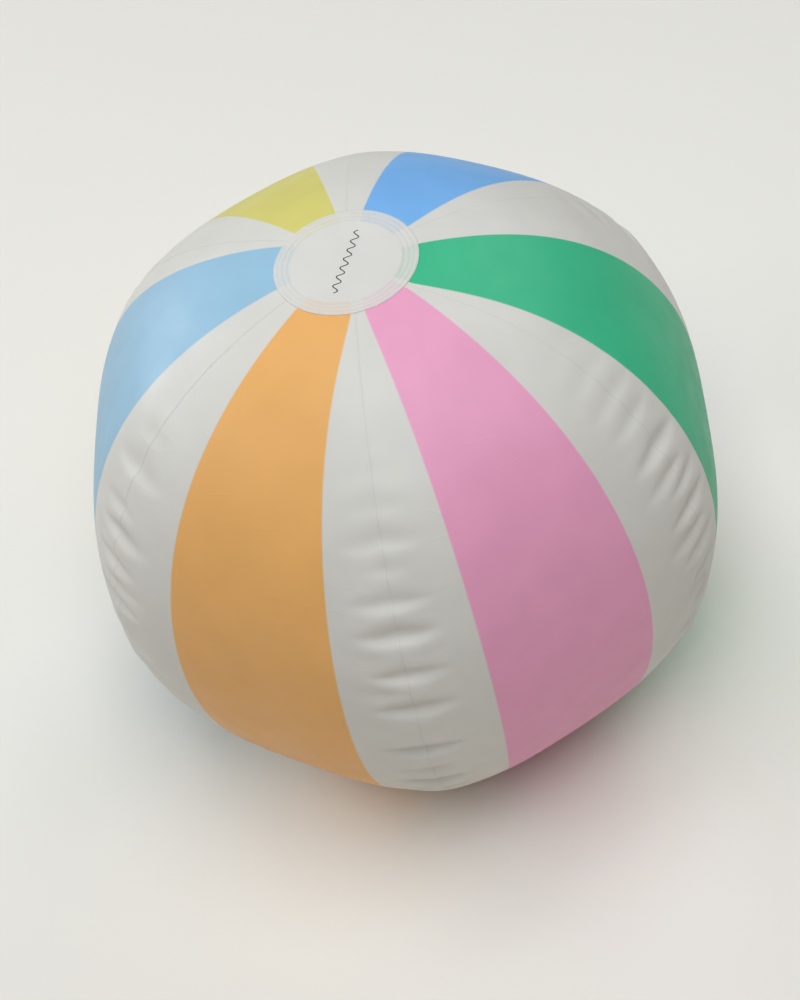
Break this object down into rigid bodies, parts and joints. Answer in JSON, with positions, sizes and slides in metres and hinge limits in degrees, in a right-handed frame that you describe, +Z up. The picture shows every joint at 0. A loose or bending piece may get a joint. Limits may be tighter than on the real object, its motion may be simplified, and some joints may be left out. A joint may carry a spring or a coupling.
{
  "type": "inflatable beach ball",
  "caption": "Inflated ball of striped film gores with a round patch welded over each pole and a push-in air valve.",
  "frame": {"origin": "centre of the outer face of the bottom pole disc, on which the ball stands", "axes": "+Z up the pole axis, +Y towards the middle of the yellow gore that carries the valve"},
  "size_m": [0.359, 0.341, 0.3247],
  "materials": {
    "film_pink": "satin",
    "film_green": "satin",
    "film_blue": "satin",
    "film_yellow": "satin",
    "film_sky": "satin",
    "film_orange": "satin",
    "disc_film": "satin",
    "valve_pvc": "satin",
    "flap_film": "satin"
  },
  "bodies": {
    "ball": {"gore_pink": "film_pink", "gore_green": "film_green", "gore_blue": "film_blue", "gore_yellow": "film_yellow", "gore_sky": "film_sky", "gore_orange": "film_orange", "top_disc": "disc_film", "bottom_disc": "disc_film", "valve_flange": "valve_pvc", "valve_skirt": "valve_pvc"},
    "stem": {"valve_stem": "valve_pvc", "plug_tether": "valve_pvc"},
    "plug": {"valve_plug": "valve_pvc"},
    "flap": {"check_flap": "flap_film"}
  },
  "joints": [
    {"name": "stem_slide", "type": "slide", "parent": "ball", "child": "stem", "axis": [0, 0.866, -0.5], "range_m": [0, 0.012], "deforming": ["valve_skirt"]},
    {"name": "plug_slide", "type": "slide", "parent": "stem", "child": "plug", "axis": [0, 0.866, -0.5], "range_m": [0, 0.012], "deforming": ["plug_tether"]},
    {"name": "flap_hinge", "type": "hinge", "parent": "stem", "child": "flap", "pos_m": [0, 0.13924, 0.08278], "axis": [-1, 0, 0], "range_deg": [0, 55], "stiffness_Nm_per_rad": 0.00001}
  ]
}
